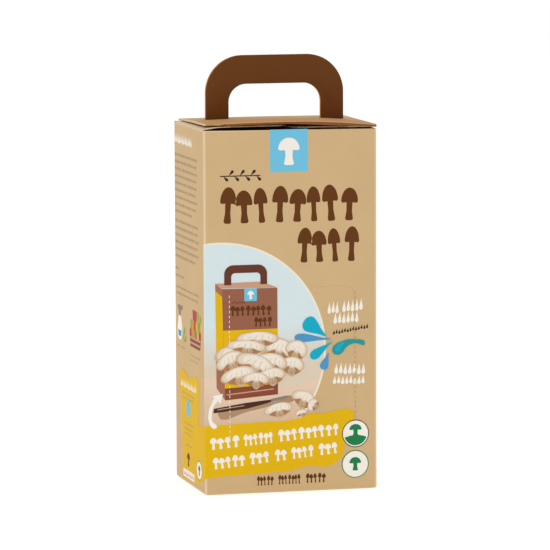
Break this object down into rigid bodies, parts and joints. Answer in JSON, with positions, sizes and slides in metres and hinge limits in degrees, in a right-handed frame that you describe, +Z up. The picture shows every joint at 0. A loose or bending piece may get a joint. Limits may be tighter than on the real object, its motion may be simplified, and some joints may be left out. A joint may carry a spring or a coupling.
{
  "type": "oyster mushroom grow kit in a carry carton",
  "caption": "Tall kraft carton with a pull-up board handle, hinged lid and tear-out front window, holding a mushroom grow bag and a mister.",
  "frame": {"origin": "centre of the carton's base, on the surface it stands on", "axes": "+Z up, -Y out of the printed front, +X to the right as seen from the front"},
  "size_m": [0.117, 0.086, 0.2864],
  "materials": {
    "kraft_board": "uncoated kraft board, printed in flat inks",
    "brown_board": "brown printed face, orange-kraft cut edges",
    "grow_bag_film": "clear film over a pale mycelium block",
    "leaflet_paper": "uncoated paper",
    "mister_plastic": "milky moulded plastic",
    "mister_cap_plastic": "translucent blue moulded plastic"
  },
  "bodies": {
    "carton": {"carton_body": "kraft_board", "tear_out_window": "kraft_board", "bottom_inner_flap": "kraft_board", "bottom_dust_flap_left": "kraft_board", "bottom_dust_flap_right": "kraft_board", "glue_flap": "kraft_board", "grow_bag": "grow_bag_film", "instruction_leaflet": "leaflet_paper", "mister_bottle": "mister_plastic", "mister_pump": "mister_plastic", "mister_cap": "mister_cap_plastic"},
    "lid": {"lid_flap": "kraft_board", "carry_handle": "brown_board"},
    "flap_left": {"dust_flap_left": "kraft_board"},
    "flap_right": {"dust_flap_right": "kraft_board"}
  },
  "joints": [
    {"name": "lid_hinge", "type": "hinge", "parent": "carton", "child": "lid", "pos_m": [0, 0.043, 0.24125], "axis": [-1, 0, 0], "range_deg": [0, 180]},
    {"name": "dust_flap_left_hinge", "type": "hinge", "parent": "carton", "child": "flap_left", "pos_m": [-0.0585, 0, 0.24012], "axis": [0, -1, 0], "range_deg": [0, 95]},
    {"name": "dust_flap_right_hinge", "type": "hinge", "parent": "carton", "child": "flap_right", "pos_m": [0.0585, 0, 0.24012], "axis": [0, 1, 0], "range_deg": [0, 95]}
  ],
  "couplings": [
    {"joint": "dust_flap_left_hinge", "follows": "lid_hinge", "ratio": 0.5},
    {"joint": "dust_flap_right_hinge", "follows": "lid_hinge", "ratio": 0.5}
  ]
}
